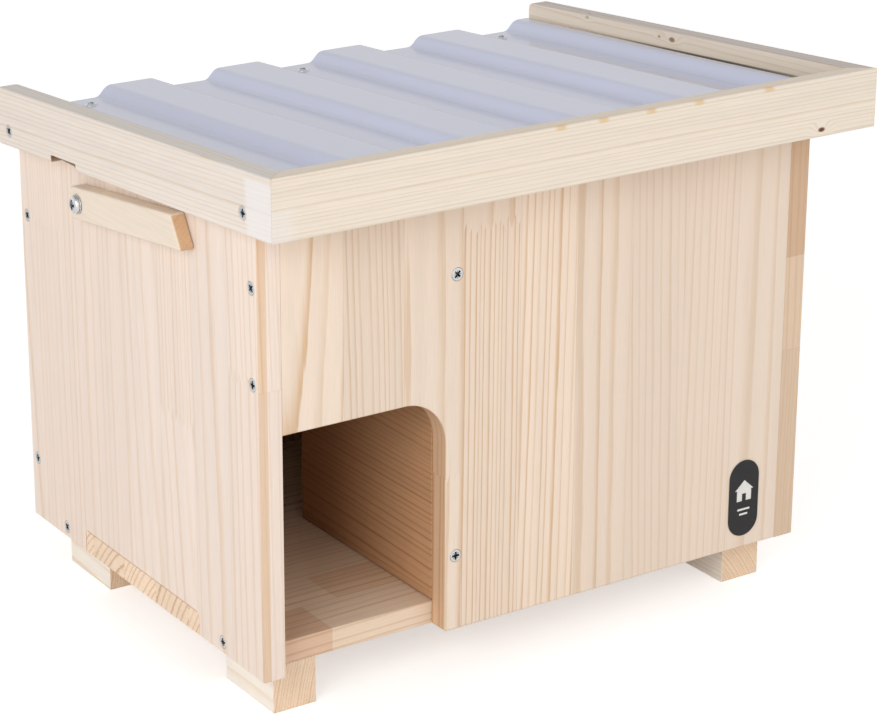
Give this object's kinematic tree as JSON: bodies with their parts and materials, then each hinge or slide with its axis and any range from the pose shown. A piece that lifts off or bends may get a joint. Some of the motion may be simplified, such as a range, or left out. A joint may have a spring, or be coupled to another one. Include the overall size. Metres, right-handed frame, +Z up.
{
  "type": "nesting box",
  "caption": "Wooden shelter box with a corner entrance, an inner partition, short feet, and a sloping hinged lid with a corrugated sheet, held open by a swinging prop.",
  "frame": {"origin": "on the ground, in the middle of the whole footprint, lid overhang and hinges included", "axes": "+Z up, +Y from the entrance side to the hinge side, +X along the front from the entrance corner to the label corner"},
  "size_m": [0.519, 0.4153, 0.421],
  "materials": {
    "pine": "planed, unfinished",
    "pine_prop": "planed, unfinished",
    "zinc_steel": "bright zinc plated",
    "hinge_steel": "zinc plated, dull",
    "label": "satin black sticker",
    "roof_sheet": "semi-gloss rigid PVC, slightly translucent"
  },
  "bodies": {
    "box": {"side_panel_left": "pine", "side_panel_right": "pine", "front_panel": "pine", "back_panel": "pine", "floor_panel": "pine", "partition_wall": "pine", "foot_front_left": "pine", "foot_front_right": "pine", "foot_rear_left": "pine", "foot_rear_right": "pine", "side_panel_screws": "zinc_steel", "front_panel_screws": "zinc_steel", "foot_screws": "zinc_steel", "label_plate": "label", "hinge_left_box_leaf": "hinge_steel", "hinge_right_box_leaf": "hinge_steel", "hinge_left_pin": "zinc_steel", "hinge_right_pin": "zinc_steel", "hinge_box_screws": "zinc_steel", "prop_pivot_screw": "zinc_steel", "prop_washer": "zinc_steel"},
    "lid": {"lid_side_left": "pine", "lid_side_right": "pine", "lid_fascia": "pine", "lid_front_batten": "pine", "lid_rear_batten": "pine", "roof_sheet": "roof_sheet", "sheet_screws": "zinc_steel", "lid_frame_screws": "zinc_steel", "hinge_left_lid_leaf": "hinge_steel", "hinge_right_lid_leaf": "hinge_steel", "hinge_lid_screws": "zinc_steel"},
    "prop": {"roof_prop": "pine_prop"}
  },
  "joints": [
    {"name": "lid_hinge", "type": "hinge", "parent": "box", "child": "lid", "pos_m": [0, 0.20465, 0.3536], "axis": [-1, 0, 0], "range_deg": [0, 63]},
    {"name": "prop_swing", "type": "hinge", "parent": "box", "child": "prop", "pos_m": [-0.2482, 0.08035, 0.3306], "axis": [-1, 0, 0], "range_deg": [0, 113.4]}
  ],
  "couplings": [
    {"joint": "prop_swing", "follows": "lid_hinge", "ratio": 1.8}
  ]
}
